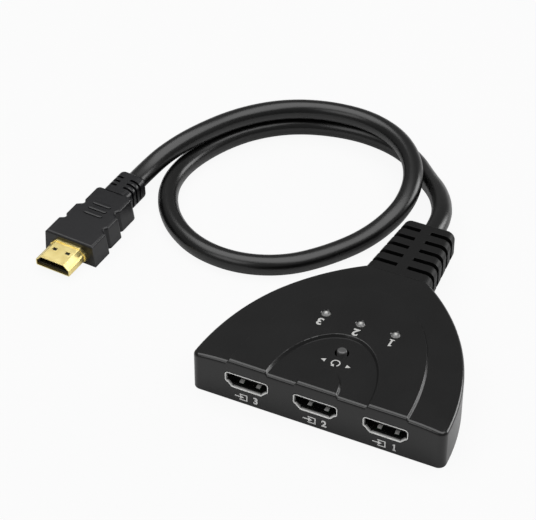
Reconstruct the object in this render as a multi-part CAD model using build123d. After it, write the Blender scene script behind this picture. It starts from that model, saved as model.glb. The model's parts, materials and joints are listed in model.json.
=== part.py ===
from build123d import *
from math import pi, radians, tan
import os

# A three-way video switch box. Three sockets open in the front wall of a low
# flared housing, with one push button, three indicator lamps and a captive
# output cable that ends in a plug. Millimetres. X runs along the front face,
# Y from the front face to the cable boot and Z up. The origin lies on the
# surface that the box stands on, midway between front face and end of boot.

os.makedirs("parts", exist_ok=True)

overrun = 1.0              # how far a cut runs past the faces that it opens
upward = 0.7               # least Z of the normal of a face that counts as a roof
fit_gap = 0.15             # gap round a piece that drops into another

# Housing
housing_width = 87.6       # across the front face
neck_width = 23.8          # across the rear end, where the boot starts
housing_depth = 64.5       # front face to rear end
housing_height = 15.6      # up to the plain top surface
band_rise = 1.0            # the horseshoe band and the disc stand this much higher
wall = 2.2
top_wall = 1.7
side_fall = 1.4            # drop of the top surface from the band out to the sides
front_corner_round = 2.6
top_edge_round = 1.3
bottom_edge_round = 0.5
step_edge_round = 0.4
step_lean = 32.0           # degrees that the step walls lean back
outer_arch_half_width = 30.5
outer_arch_depth = 52.5
inner_arch_half_width = 17.8
inner_arch_depth = 28.0
disc_half_width = 6.6
disc_depth = 10.4

# Bottom cover, case screws and the bosses that take them
cover_thickness = 1.6
boss_diameter = 5.4
boss_web = 1.2
front_boss_inset = 7.6     # from the side of the front face
front_boss_depth = 16.0
rear_boss_x = 12.2
rear_boss_inset = 8.9      # from the rear end
cup_diameter = 6.4         # screw cup that stands on the cover inside
cup_rise = 1.6
case_screw_shank = 2.2
case_screw_length = 7.0
case_screw_head = 3.8
case_screw_head_height = 1.3
head_gap = 0.3             # round a sunk screw head
thread_gap = 0.05          # between a screw and the hole that it is cut into
screw_head_chamfer = 0.4

# Circuit board and what stands on it
board_thickness = 1.6
board_gap = 0.6            # from the board's edge to the walls
board_drop = 10.9          # from the plain top surface down to the board's underside
tail_share = 0.2           # of the room under the board, taken by the ends that stick out
board_rear_inset = 14.0    # from the rear end
standoff_diameter = 5.0
side_standoff_x = 12.0
side_standoff_share = 0.256    # depth as a share of the housing's depth
rear_standoff_inset = 6.5  # from the board's rear edge
board_screw_shank = 2.0
board_screw_length = 3.8
board_screw_head = 3.6
board_screw_head_height = 1.3
chip_size = 7.0
chip_height = 0.9
chip_x = 13.0
chip_depth_share = 0.363   # these two are shares of the housing's depth as well
control_chip_length = 4.9
control_chip_width = 3.9
control_chip_height = 1.4
control_chip_x = -14.0
control_chip_depth_share = 0.48
passive_length = 1.6
passive_width = 0.8
passive_height = 0.6
passive_pitch = 2.4
passive_count = 5

# Input sockets: the section of the mouth, then the parts
socket_count = 3
socket_pitch = 24.0
mouth_width = 14.0
mouth_height = 4.55
mouth_side = 2.725         # height of the upright side wall
shoulder_in = 0.65
shoulder_drop = 0.3
mouth_floor_width = 9.8
mouth_corner_round = 0.5
shell_sheet = 0.3
shell_length = 11.4
lip_flare = 0.35
lip_proud = 0.1
lip_depth = 0.9
hole_gap = 0.55            # from the shell to the hole in the front wall
finger_x = 2.95
finger_width = 1.4
finger_slot = 0.3
finger_front = 2.2
finger_crest = 3.1
finger_root = 6.0
finger_rise = 0.5
finger_tip_rise = 0.2
stake_width = 1.4
stake_front_depth = 4.8
stake_rear_depth = 10.2
stake_top = 0.4            # above the middle of the mouth
stake_gap = 0.2
block_depth = 8.4          # the insulator's block starts here
block_gap = 0.05
tongue_width = 10.8
tongue_thickness = 0.9
tongue_depth = 2.2
tongue_chamfer = 0.2
contact_pitch = 1.0
upper_contacts = 10
lower_contacts = 9
contact_width = 0.34
contact_sheet = 0.15
contact_sunk = 0.1
contact_depth = 2.8
contact_leg_gap = 0.2
contact_foot = 0.85

# Push button on its switch
button_depth_share = 0.312     # of the housing's depth
button_rise = 1.3          # above the plain top surface
button_diameter = 3.3
button_hole = 4.7
button_edge_round = 0.35
button_travel = 0.3
switch_size = 6.0
switch_height = 3.5        # board to the top of the cover plate
switch_plate = 0.3
switch_plate_hole = 3.7
switch_pocket = 4.5
switch_floor = 1.4
button_flange = 4.1
button_flange_height = 0.4
button_flange_gap = 0.1
nub_diameter = 1.6
dome_diameter = 4.2
dome_rise = 0.6
dome_sheet = 0.1
dome_gap = 0.05
terminal_width = 0.7
terminal_sheet = 0.3
terminal_span = 4.5

# Indicator lamps
lamp_count = 3
lamp_pitch = 12.3
lamp_depth_share = 0.54    # of the housing's depth
lamp_diameter = 2.9
lamp_rise = 0.35           # above the band
lamp_length = 5.3
lamp_flange = 3.8
lamp_flange_height = 1.0
lamp_hole = 3.1
lamp_hole_chamfer = 0.25
lead_size = 0.5
lead_span = 2.54
lead_hole = 0.9

# Cable, its boot and its cores
cable_diameter = 7.3
cable_drop = 5.5           # from the plain top surface to the cable's middle
boot_length = 30.0
boot_end_width = 18.6
boot_height = 11.2
boot_corner_round = 3.0
boot_end_round = 1.4
boot_neck_width = 15.4
boot_neck_height = 8.6
boot_flange_width = 20.0
boot_flange_rise = 4.5     # above and below the cable's middle
boot_flange_length = 2.4
boot_slot_count = 5
boot_slot_first = 4.7      # housing to the middle of the first slot
boot_slot_pitch = 5.1
boot_slot_width = 1.8
boot_slot_depth = 1.6
boot_spine_half_width = 1.9
neck_slot_gap = 0.2
ceiling_over_flange = 0.9
tail_inset = 7.5           # from the rear end in to where the jacket is cut off
core_count = 6
core_diameter = 1.0
core_sides = 8             # the small cores are drawn with flats
core_spread = 1.8
core_start_spread = 1.05
core_straight = 1.2
core_pad = 2.2             # length that lies on the board

# Plug at the far end of the cable
plug_fit = 0.05            # smaller than the socket's mouth all round
plug_shell_length = 12.4
plug_shell_bare = 10.4
plug_collar_length = 1.1
plug_collar_rise = 0.35
latch_length = 1.7
latch_width = 1.3
latch_depth = 5.7
latch_x = 2.65
plug_block_depth = 0.8
plug_slot_width = 11.8
plug_slot_height = 1.9
plug_slot_depth = 8.4
plug_contact_width = 0.4
plug_contact_sheet = 0.2
plug_contact_depth = 1.3
grip_thickness = 8.9
grip_front_width = 20.4
grip_front_length = 8.6
grip_middle_width = 18.4
grip_middle_start = 11.3
grip_middle_end = 17.7
grip_rear_width = 15.4
grip_rear_start = 20.9
grip_length = 29.7
grip_lean = 5.0            # degrees of draft on the sides
grip_first_notch = 1.2
grip_second_notch = 1.0
grip_corner_round = 0.7
grip_rear_round = 2.0
grip_edge_round = 0.9
relief_length = 11.5
relief_width = 10.7
relief_height = 9.4
relief_corner_round = 2.6
relief_end_round = 1.6
relief_slot_count = 3
relief_slot_first = 2.6
relief_slot_pitch = 2.3
relief_slot_width = 0.9
relief_slot_depth = 1.1
relief_spine_half_width = 1.4

# Places that follow from the sizes
front_y = -(housing_depth + boot_length) / 2
rear_y = front_y + housing_depth
boot_end_y = rear_y + boot_length
band_top = housing_height + band_rise
ceiling = housing_height - top_wall
front_boss_x = housing_width / 2 - front_boss_inset
rear_boss_depth = housing_depth - rear_boss_inset
board_rear_depth = housing_depth - board_rear_inset
rear_standoff_depth = board_rear_depth - rear_standoff_inset
side_standoff_depth = housing_depth * side_standoff_share
chip_depth = housing_depth * chip_depth_share
control_chip_depth = housing_depth * control_chip_depth_share
button_depth = housing_depth * button_depth_share
lamp_depth = housing_depth * lamp_depth_share
tail_inner_depth = housing_depth - tail_inset
cable_height = housing_height - cable_drop
button_top = housing_height + button_rise
lamp_top = band_top + lamp_rise
board_floor = housing_height - board_drop
tail_foot = board_floor - (board_floor - cover_thickness) * tail_share
board_top = board_floor + board_thickness
mouth_middle = board_top + shell_sheet + mouth_height / 2
boss_foot = cover_thickness + cup_rise
switch_top = board_top + switch_height
plug_length = plug_shell_bare + grip_length + relief_length

# The cable's route from the end of the boot to the plug's strain relief: it
# drops to the surface, goes once round and crosses over itself on the way back.
cable_route = [
    (0, boot_end_y, cable_height),
    (0, 55.0, cable_height),
    (-2.2, 64.3, 9.5),
    (-8.2, 75.4, 7.5),
    (-16.9, 85.3, 4.9),
    (-25.9, 95.3, 4.0),
    (-38.2, 101.5, 3.65),
    (-54.9, 103.1, 3.65),
    (-73.7, 98.0, 3.65),
    (-87.1, 87.5, 3.65),
    (-96.0, 73.0, 3.65),
    (-100.9, 55.4, 3.65),
    (-99.3, 39.1, 3.65),
    (-89.8, 24.0, 3.65),
    (-75.1, 14.0, 3.65),
    (-57.9, 11.9, 3.65),
    (-41.9, 17.9, 3.65),
    (-30.3, 30.6, 3.65),
    (-21.2, 45.7, 4.3),
    (-15.7, 61.8, 8.1),
    (-18.5, 78.9, 10.9),
    (-29.4, 93.3, 11.6),
    (-45.1, 101.0, 11.6),
    (-63.3, 100.3, 11.6),
    (-79.1, 93.6, 11.6),
    (-91.7, 80.9, 11.6),
    (-100.5, 64.3, 11.4),
    (-106.5, 52.3, 9.1),
    (-109.1, 41.8, 7.05),
    (-109.7, 34.2, 6.65),
]
bend_share = 0.45          # of the shorter run beside a bend, taken by its arc


def y_at(depth):
    """Y of a place that lies this deep behind the front face."""
    return front_y + depth


def both_sides(piece):
    """The piece and its mirror image across the middle plane."""
    return [piece, mirror(piece, about=Plane.YZ)]


def bar(x_range, y_range, z_range):
    """A box between pairs of X, Y and Z places."""
    low = [min(pair) for pair in (x_range, y_range, z_range)]
    high = [max(pair) for pair in (x_range, y_range, z_range)]
    size = [top - bottom for bottom, top in zip(low, high)]
    return Pos(*low) * Box(*size, align=(Align.MIN, Align.MIN, Align.MIN))


def post(x, y, bottom, top, diameter):
    """An upright round post."""
    foot = (Align.CENTER, Align.CENTER, Align.MIN)
    return Pos(x, y, bottom) * Cylinder(diameter / 2, top - bottom, align=foot)


def section(face, y):
    """Stand a face drawn in X and Y upright, across the Y axis at y."""
    return Plane(origin=(0, y, 0), x_dir=(1, 0, 0), z_dir=(0, -1, 0)) * face


def along(face, start, end):
    """Extrude an upright face from start to end along Y."""
    return extrude(section(face, start), amount=end - start, dir=(0, 1, 0))


def taper_along(first, start, last, end):
    """Loft between two upright faces."""
    return loft([section(first, start), section(last, end)])


# Housing and cover


def plan(inset=0):
    """Plan of the housing: straight front, sides that arc in to the neck."""
    front_corner = (housing_width / 2, front_y)
    rear_corner = (neck_width / 2, rear_y)
    right = TangentArc(front_corner, rear_corner, tangent=(0, 1))
    left = mirror(right, about=Plane.YZ)
    front = Line(left @ 0, right @ 0)
    rear = Line(left @ 1, right @ 1)
    face = make_face([front, right, rear, left])
    if inset:
        face = offset(face, amount=-inset, kind=Kind.INTERSECTION)
    return face


def under_roof(top):
    """All below a roof that is flat over the band and curves down outside it."""
    edge = housing_width / 2 + overrun
    flat = Line((-outer_arch_half_width, top), (outer_arch_half_width, top))
    right = TangentArc(flat @ 1, (edge, top - side_fall), tangent=(1, 0))
    left = mirror(right, about=Plane.YZ)
    foot = Polyline(right @ 1, (edge, -overrun), (-edge, -overrun), left @ 1)
    return along(make_face([flat, right, foot, left]), front_y - overrun, rear_y + overrun)


def arch(half_width, depth):
    """Half-elliptical plate on the front line, its wall leaning out downwards."""
    sunk = top_edge_round + overrun
    height = band_rise + sunk
    spread = height * tan(radians(step_lean))
    low = Pos(0, front_y, housing_height - sunk) * Ellipse(half_width + spread, depth + spread)
    high = Pos(0, front_y, band_top) * Ellipse(half_width, depth)
    half_space = bar(
        (-housing_width, housing_width), (front_y, front_y + housing_depth), (0, 2 * band_top)
    )
    return loft([low, high]) & half_space


def arch_recess(half_width, depth):
    """The same form as a recess, with its wall leaning in downwards."""
    sunk = top_edge_round + overrun
    low_narrow = (band_rise + sunk) * tan(radians(step_lean))
    high_widen = overrun * tan(radians(step_lean))
    low = Ellipse(half_width - low_narrow, depth - low_narrow)
    high = Ellipse(half_width + high_widen, depth + high_widen)
    return loft(
        [Pos(0, front_y, housing_height - sunk) * low, Pos(0, front_y, band_top + overrun) * high]
    )


def round_step(plate):
    """Round the front edge of a raised plate, and its curved top edge slightly."""
    top_edges = plate.faces().sort_by(Axis.Z)[-1].edges()
    straight = top_edges.filter_by(GeomType.LINE)
    plate = fillet(straight, top_edge_round)
    curved = plate.faces().sort_by(Axis.Z)[-1].edges().filter_by(GeomType.LINE, reverse=True)
    return fillet(curved, step_edge_round)


def housing_body():
    """Outside form of the housing, still solid."""
    body = extrude(plan(), amount=housing_height)
    body = fillet(body.edges().filter_by(Axis.Z).group_by(Axis.Y)[0], front_corner_round)
    body &= under_roof(housing_height)
    roof = body.faces().filter_by(lambda face: face.normal_at().Z > upward)
    rim = roof.edges().filter_by(Axis.Y, reverse=True).sort_by(Axis.Y)
    body = fillet(rim[:-1], top_edge_round)
    bottom = body.faces().sort_by(Axis.Z)[0].edges().sort_by(Axis.Y)
    body = fillet(bottom[:-1], bottom_edge_round)
    band = arch(outer_arch_half_width, outer_arch_depth)
    band -= arch_recess(inner_arch_half_width, inner_arch_depth)
    disc = arch(disc_half_width, disc_depth)
    return body + round_step(band) + round_step(disc)


def boss_places():
    """Middle of each case screw, as X and Y."""
    rows = [(front_boss_x, front_boss_depth), (rear_boss_x, rear_boss_depth)]
    return [(side * x, y_at(depth)) for x, depth in rows for side in (-1, 1)]


def upper_housing():
    """Top shell: walls, ceiling, screw bosses and every opening in it."""
    shell = housing_body()
    shell -= extrude(plan(wall), amount=ceiling) & under_roof(ceiling)
    for x, y in boss_places():
        outward = x / abs(x)
        shell += post(x, y, boss_foot, ceiling + overrun, boss_diameter)
        web_end = x + outward * boss_diameter
        web = bar((x, web_end), (y - boss_web / 2, y + boss_web / 2), (boss_foot, ceiling))
        shell += web & extrude(plan(wall / 2), amount=housing_height)
        pilot = case_screw_shank + 2 * thread_gap
        shell -= post(x, y, 0, boss_foot + case_screw_length, pilot)
    for x in socket_places().values():
        mouth = d_face(shell_sheet + hole_gap)
        shell -= Pos(x, front_y, mouth_middle) * along(mouth, -overrun, wall + overrun)
    for x in lamp_places().values():
        shell -= post(x, y_at(lamp_depth), 0, band_top + overrun, lamp_hole)
        flare = Cone(lamp_hole / 2, lamp_hole / 2 + 2 * lamp_hole_chamfer, 2 * lamp_hole_chamfer)
        shell -= Pos(x, y_at(lamp_depth), band_top) * flare
    shell -= post(0, y_at(button_depth), 0, housing_height + overrun, button_hole)
    slot_half = boot_neck_width / 2 + neck_slot_gap
    slot_top = cable_height + boot_neck_height / 2 + neck_slot_gap
    shell -= bar((-slot_half, slot_half), (rear_y - wall - overrun, rear_y + overrun), (0, slot_top))
    pocket_half = boot_flange_width / 2 + neck_slot_gap
    pocket_front = rear_y - wall - boot_flange_length - neck_slot_gap
    pocket_top = housing_height - ceiling_over_flange
    shell -= bar((-pocket_half, pocket_half), (pocket_front, rear_y - wall), (0, pocket_top))
    return shell


def bottom_cover():
    """Flat cover inside the walls, with standoffs, screw cups and a rear upstand."""
    cover = extrude(plan(wall + fit_gap), amount=cover_thickness)
    for x, y in standoff_places():
        cover += post(x, y, 0, board_floor, standoff_diameter)
        pilot = board_screw_shank + 2 * thread_gap
        pilot_foot = board_top - board_screw_length - fit_gap
        cover -= post(x, y, pilot_foot, board_floor + overrun, pilot)
    for x, y in boss_places():
        cover += post(x, y, 0, boss_foot, cup_diameter)
        cover -= post(x, y, -overrun, boss_foot - cover_thickness, case_screw_head + 2 * head_gap)
        cover -= post(x, y, -overrun, boss_foot + overrun, case_screw_shank + 2 * head_gap)
    tab_half = boot_neck_width / 2 + neck_slot_gap - fit_gap
    tab_top = cable_height - boot_neck_height / 2 - thread_gap
    tab_front = rear_y - wall - cover_thickness
    floor_tab = bar((-tab_half, tab_half), (tab_front, rear_y), (0, cover_thickness))
    upstand = bar((-tab_half, tab_half), (rear_y - wall, rear_y), (0, tab_top))
    return cover + floor_tab + upstand


def screw(x, y, seat, shank, length, head, head_height, direction):
    """A round-headed screw whose head sits on a seat; direction is where it points."""
    head_far = seat - direction * head_height
    bottom = min(seat, head_far)
    cap = post(x, y, bottom, bottom + head_height, head)
    free_rim = cap.edges().filter_by(GeomType.CIRCLE).sort_by(Axis.Z)[-1 if direction < 0 else 0]
    cap = chamfer(free_rim, screw_head_chamfer)
    tip = seat + direction * length
    return cap + post(x, y, min(seat, tip), max(seat, tip), shank)


def case_screws():
    seat = boss_foot - cover_thickness
    length = cover_thickness + case_screw_length - overrun
    sizes = (case_screw_shank, length, case_screw_head, case_screw_head_height, 1)
    return [screw(x, y, seat, *sizes) for x, y in boss_places()]


def board_screws():
    sizes = (board_screw_shank, board_screw_length, board_screw_head, board_screw_head_height, -1)
    return [screw(x, y, board_top, *sizes) for x, y in standoff_places()]


# Circuit board


def standoff_places():
    """Middle of each board screw, as X and Y."""
    sides = [(side * side_standoff_x, y_at(side_standoff_depth)) for side in (-1, 1)]
    return sides + [(0, y_at(rear_standoff_depth))]


def circuit_board():
    """Board cut to the housing's plan, with its notches and holes."""
    outline = plan(wall + board_gap)
    board = Pos(0, 0, board_floor) * extrude(outline, amount=board_thickness)
    reach = (-housing_width, housing_width)
    board -= bar(reach, (y_at(board_rear_depth), rear_y), (0, board_top + overrun))
    for x, y in boss_places()[:2]:
        notch = cup_diameter + 2 * fit_gap
        edge = x + x / abs(x) * notch
        board -= post(x, y, 0, board_top + overrun, notch)
        board -= bar((x, edge), (y - notch / 2, y + notch / 2), (0, board_top + overrun))
    for x, y in standoff_places():
        board -= post(x, y, 0, board_top + overrun, board_screw_shank + 2 * fit_gap)
    for x in socket_places().values():
        for stake in stake_boxes(stake_gap):
            board -= Pos(x, front_y, mouth_middle) * stake
    for x in lamp_places().values():
        for side in (-1, 1):
            lead_x = x + side * lead_span / 2
            board -= post(lead_x, y_at(lamp_depth), 0, board_top + overrun, lead_hole)
    for x, y in terminal_places():
        board -= post(x, y, 0, board_top + overrun, terminal_width + 2 * fit_gap)
    return board


def chip(x, depth, length, width, height):
    """A flat package on the board."""
    y = y_at(depth)
    x_range = (x - length / 2, x + length / 2)
    return bar(x_range, (y - width / 2, y + width / 2), (board_top, board_top + height))


def switch_chip():
    return chip(chip_x, chip_depth, chip_size, chip_size, chip_height)


def control_chip():
    sizes = (control_chip_length, control_chip_width, control_chip_height)
    return chip(control_chip_x, control_chip_depth, *sizes)


def board_passives():
    """Rows of small resistors and capacitors beside the two chips."""
    pieces = []
    for index in range(passive_count):
        shift = (index - (passive_count - 1) / 2) * passive_pitch
        beside_chip = chip_x + chip_size
        pieces.append(chip(beside_chip, chip_depth + shift, passive_length, passive_width, passive_height))
        behind_chip = control_chip_depth + control_chip_length
        place = (control_chip_x + shift, behind_chip)
        pieces.append(chip(*place, passive_width, passive_length, passive_height))
    return pieces


# Input sockets


def socket_places():
    """X of each socket by its number; number one is on the right."""
    middle = (socket_count + 1) / 2
    return {number: (middle - number) * socket_pitch for number in range(1, socket_count + 1)}


def d_face(grow=0):
    """Section of the connector's mouth, wide side up, grown or shrunk all round."""
    side_foot = mouth_height / 2 - mouth_side
    shoulder = (mouth_width / 2 - shoulder_in, side_foot - shoulder_drop)
    right = [
        (mouth_width / 2, mouth_height / 2),
        (mouth_width / 2, side_foot),
        shoulder,
        (mouth_floor_width / 2, -mouth_height / 2),
    ]
    left = [(-x, z) for x, z in reversed(right)]
    face = make_face(Polyline(*right, *left, close=True))
    face = fillet(face.vertices(), mouth_corner_round)
    if grow:
        face = offset(face, amount=grow)
    return face


def stake_boxes(gap=0):
    """Stakes at the shell's sides, or the board holes that clear them by a gap."""
    inner = mouth_width / 2 - gap
    outer = mouth_width / 2 + shell_sheet + gap
    foot = tail_foot - mouth_middle - gap
    boxes = []
    for depth in (stake_front_depth, stake_rear_depth):
        y_range = (depth - stake_width / 2 - gap, depth + stake_width / 2 + gap)
        boxes += both_sides(bar((inner, outer), y_range, (foot, stake_top)))
    return boxes


def spring_finger(x):
    """Spring finger bent into the mouth from the shell's floor."""
    inner = -mouth_height / 2
    outer = inner - shell_sheet
    profile = Polyline(
        (finger_root + overrun, outer),
        (finger_root + overrun, inner),
        (finger_crest, inner + finger_rise),
        (finger_front, inner + finger_tip_rise),
        (finger_front, inner + finger_tip_rise - shell_sheet),
        (finger_crest, inner + finger_rise - shell_sheet),
        (finger_root, outer),
        close=True,
    )
    across = Plane(origin=(x - finger_width / 2, 0, 0), x_dir=(0, 1, 0), z_dir=(1, 0, 0))
    return extrude(across * make_face(profile), amount=finger_width)


def input_socket_shell():
    """Folded sheet shell with a flared lip, spring fingers and stakes."""
    outer = d_face(shell_sheet)
    inner = d_face()
    shell = along(outer, lip_depth, shell_length)
    shell += taper_along(d_face(shell_sheet + lip_flare), -lip_proud, outer, lip_depth)
    shell -= along(inner, -overrun, shell_length + overrun)
    shell -= taper_along(d_face(lip_flare), -lip_proud, inner, lip_depth - shell_sheet / 2)
    window_half = finger_width / 2 + finger_slot
    for x in (-finger_x, finger_x):
        window_x = (x - window_half, x + window_half)
        window_z = (-mouth_height / 2 - overrun, mouth_height / 2 + overrun)
        shell -= bar(window_x, (finger_front - finger_slot, finger_root), window_z)
        finger = spring_finger(x)
        shell += finger
        shell += mirror(finger, about=Plane.XY)
    for stake in stake_boxes():
        shell += stake
    return shell


def contact_rows():
    """X of each contact with the side of the tongue that it lies on."""
    rows = []
    for count, side in ((upper_contacts, 1), (lower_contacts, -1)):
        rows += [((index - (count - 1) / 2) * contact_pitch, side) for index in range(count)]
    return rows


def input_socket_tongue():
    """Insulator: a block that closes the shell, and the tongue with its grooves."""
    block = along(d_face(-block_gap), block_depth, shell_length)
    half_width = tongue_width / 2
    half_thick = tongue_thickness / 2
    tongue = bar((-half_width, half_width), (tongue_depth, shell_length), (-half_thick, half_thick))
    front_edges = tongue.faces().sort_by(Axis.Y)[0].edges()
    tongue = chamfer(front_edges, tongue_chamfer)
    insulator = block + tongue
    for x, side in contact_rows():
        x_range = (x - contact_width / 2, x + contact_width / 2)
        floor = side * (half_thick - contact_sunk)
        groove = (floor, floor + side * contact_sheet)
        insulator -= bar(x_range, (contact_depth, shell_length + overrun), groove)
    return insulator


def input_socket_contacts():
    """Bent contact strips: along the tongue, out at the back, down to the board."""
    board = board_top - mouth_middle
    leg_front = shell_length + contact_leg_gap
    leg_back = leg_front + contact_sheet
    foot_end = leg_back + contact_foot
    strips = []
    for x, side in contact_rows():
        levels = [side * (tongue_thickness / 2 - contact_sunk)]
        levels.append(levels[0] + side * contact_sheet)
        low, high = min(levels), max(levels)
        profile = Polyline(
            (contact_depth, low),
            (contact_depth, high),
            (leg_back, high),
            (leg_back, board + contact_sheet),
            (foot_end, board + contact_sheet),
            (foot_end, board),
            (leg_front, board),
            (leg_front, low),
            close=True,
        )
        start = (x - contact_width / 2, 0, 0)
        across = Plane(origin=start, x_dir=(0, 1, 0), z_dir=(1, 0, 0))
        strips.append(extrude(across * make_face(profile), amount=contact_width))
    return strips


# Push button and its switch


def terminal_places():
    """Middle of each switch terminal, as X and Y."""
    half_x = switch_size / 2 + terminal_sheet / 2
    half_y = terminal_span / 2
    button_y = y_at(button_depth)
    return [(x, button_y + y) for x in (-half_x, half_x) for y in (-half_y, half_y)]


def tact_switch_base():
    """Square moulded base with a round pocket for the snap dome."""
    half = switch_size / 2
    y = y_at(button_depth)
    top = switch_top - switch_plate
    base = bar((-half, half), (y - half, y + half), (board_top, top))
    return base - post(0, y, board_top + switch_floor, top + overrun, switch_pocket)


def tact_switch_cover():
    """Sheet plate that closes the base and keeps the button in."""
    half = switch_size / 2
    y = y_at(button_depth)
    plate = bar((-half, half), (y - half, y + half), (switch_top - switch_plate, switch_top))
    return plate - post(0, y, 0, switch_top + overrun, switch_plate_hole)


def tact_dome():
    """Thin domed spring disc on the floor of the pocket."""
    radius = (dome_diameter**2 / 4 + dome_rise**2) / (2 * dome_rise)
    floor = board_top + switch_floor
    ball = Sphere(radius) - Sphere(radius - dome_sheet)
    ball = Pos(0, y_at(button_depth), floor + dome_rise - radius) * ball
    return ball & post(0, y_at(button_depth), floor, floor + dome_rise + overrun, dome_diameter)


def tact_terminals():
    """Four legs from the base's sides down through the board."""
    legs = []
    for x, y in terminal_places():
        x_range = (x - terminal_sheet / 2, x + terminal_sheet / 2)
        y_range = (y - terminal_width / 2, y + terminal_width / 2)
        legs.append(bar(x_range, y_range, (tail_foot, board_top + switch_floor)))
    return legs


def select_button():
    """Plunger: shaft through the housing, flange under the plate, nub on the dome."""
    y = y_at(button_depth)
    flange_top = switch_top - switch_plate - button_flange_gap
    flange_foot = flange_top - button_flange_height
    nub_foot = board_top + switch_floor + dome_rise + dome_gap
    shaft = post(0, y, flange_foot, button_top, button_diameter)
    shaft = fillet(shaft.edges().sort_by(Axis.Z)[-1], button_edge_round)
    flange = post(0, y, flange_foot, flange_top, button_flange)
    return shaft + flange + post(0, y, nub_foot, flange_foot, nub_diameter)


# Indicator lamps


def lamp_places():
    """X of each lamp by its number; number one is on the right."""
    middle = (lamp_count + 1) / 2
    return {number: (middle - number) * lamp_pitch for number in range(1, lamp_count + 1)}


def status_led(x):
    """Round lamp with a domed top and a flange at its foot."""
    y = y_at(lamp_depth)
    foot = lamp_top - lamp_length
    radius = lamp_diameter / 2
    lamp = post(x, y, foot, lamp_top - radius, lamp_diameter)
    lamp += Pos(x, y, lamp_top - radius) * Sphere(radius)
    return lamp + post(x, y, foot, foot + lamp_flange_height, lamp_flange)


def led_leads():
    """Two square leads under each lamp, down through the board."""
    y = y_at(lamp_depth)
    half = lead_size / 2
    leads = []
    for lamp_x in lamp_places().values():
        for side in (-1, 1):
            x = lamp_x + side * lead_span / 2
            z_range = (tail_foot, lamp_top - lamp_length)
            leads.append(bar((x - half, x + half), (y - half, y + half), z_range))
    return leads


# Cable


def rounded(width, height, corner):
    """Upright rounded rectangle, drawn round the origin."""
    return RectangleRounded(width, height, corner)


def slotted(form, core, first, pitch, count, width, spine_half_width):
    """Cut a row of slots down to a core on both sides of a spine."""
    reach = 2 * form.bounding_box().size.X
    for index in range(count):
        middle = first + index * pitch
        y_range = (middle - width / 2, middle + width / 2)
        for slab in both_sides(bar((spine_half_width, reach), y_range, (-reach, reach))):
            form -= slab - core
    return form


def boot_form(inset=0):
    """Outside of the boot round the cable's line, narrowing away from the housing."""
    shrink = 2 * inset
    corner = boot_corner_round - inset
    root = rounded(neck_width - shrink, boot_height - shrink, corner)
    end = rounded(boot_end_width - shrink, boot_height - shrink, corner)
    return taper_along(root, 0, end, boot_length)


def cable_boot():
    """Moulded boot: slotted outside, neck in the rear wall, flange inside."""
    form = boot_form()
    form = fillet(form.faces().sort_by(Axis.Y)[-1].edges(), boot_end_round)
    row = (boot_slot_first, boot_slot_pitch, boot_slot_count, boot_slot_width)
    form = slotted(form, boot_form(boot_slot_depth), *row, boot_spine_half_width)
    neck = along(Rectangle(boot_neck_width, boot_neck_height), -wall, 0)
    flange = Rectangle(boot_flange_width, 2 * boot_flange_rise)
    form += neck + along(flange, -wall - boot_flange_length, -wall)
    bore = along(Circle(cable_diameter / 2), -wall - boot_flange_length - overrun, boot_length + overrun)
    return Pos(0, rear_y, cable_height) * (form - bore)


def cable_tail():
    """The jacket inside the boot, up to where it is cut off in the housing."""
    tail = along(Circle(cable_diameter / 2), y_at(tail_inner_depth), boot_end_y)
    return Pos(0, 0, cable_height) * tail


def cable_cores():
    """Cores that leave the jacket, drop to the board and lie on its rear edge."""
    cores = []
    start_y = y_at(tail_inner_depth)
    board_y = y_at(board_rear_depth)
    rest = board_top + core_diameter / 2
    for index in range(core_count):
        place = index - (core_count - 1) / 2
        start_x = place * core_start_spread
        end_x = place * core_spread
        points = [
            (start_x, start_y, cable_height),
            (start_x, start_y - core_straight, cable_height),
            (end_x, board_y, rest),
            (end_x, board_y - core_pad, rest),
        ]
        path = FilletPolyline(*points, radius=core_diameter)
        cores.append(sweep(path=path, sections=(path ^ 0) * RegularPolygon(core_diameter / 2, core_sides)))
    return cores


def bend_radii(points):
    """Radius for each inner point: a share of its shorter run over the turn."""
    radii = []
    for before, corner, after in zip(points, points[1:], points[2:]):
        arriving = Vector(corner) - Vector(before)
        leaving = Vector(after) - Vector(corner)
        shorter = min(arriving.length, leaving.length)
        turn = radians(arriving.get_angle(leaving))
        radii.append(bend_share * shorter / tan(turn / 2))
    return radii


def output_cable():
    """The free cable as a tube along its route."""
    radii = bend_radii(cable_route)
    path = FilletPolyline(*cable_route, radius=radii)
    tube = sweep(path=path, sections=(path ^ 0) * Circle(cable_diameter / 2))
    expected = path.length * pi * cable_diameter**2 / 4
    print("bend radii", [round(radius, 1) for radius in radii])
    print("cable length", round(path.length, 1), "volume", round(tube.volume), "expected", round(expected))
    return tube


# Plug, drawn with its tip at the origin and its axis along Y


def plug_place():
    """Where the plug lies: on the last run of the route, its back at the end."""
    end = Vector(*cable_route[-1])
    backward = (Vector(*cable_route[-2]) - end).normalized()
    across = backward.cross(Vector(0, 0, 1)).normalized()
    tip = end - backward * plug_length
    return Plane(origin=tip, x_dir=across, z_dir=across.cross(backward))


def plug_face(grow=0):
    """Section of the plug's shell, narrow side up."""
    return Rot(0, 0, 180) * d_face(grow - plug_fit)


def plug_shell():
    """Sheet shell with a collar and latch windows."""
    shell = along(plug_face(), 0, plug_shell_length)
    collar_start = plug_shell_bare - plug_collar_length
    shell += along(plug_face(plug_collar_rise), collar_start, plug_shell_bare)
    shell -= along(plug_face(-shell_sheet), -overrun, plug_shell_length + overrun)
    y_range = (latch_depth - latch_width / 2, latch_depth + latch_width / 2)
    for x in (-latch_x, latch_x):
        x_range = (x - latch_length / 2, x + latch_length / 2)
        shell -= bar(x_range, y_range, (-mouth_height, mouth_height))
    return shell


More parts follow.
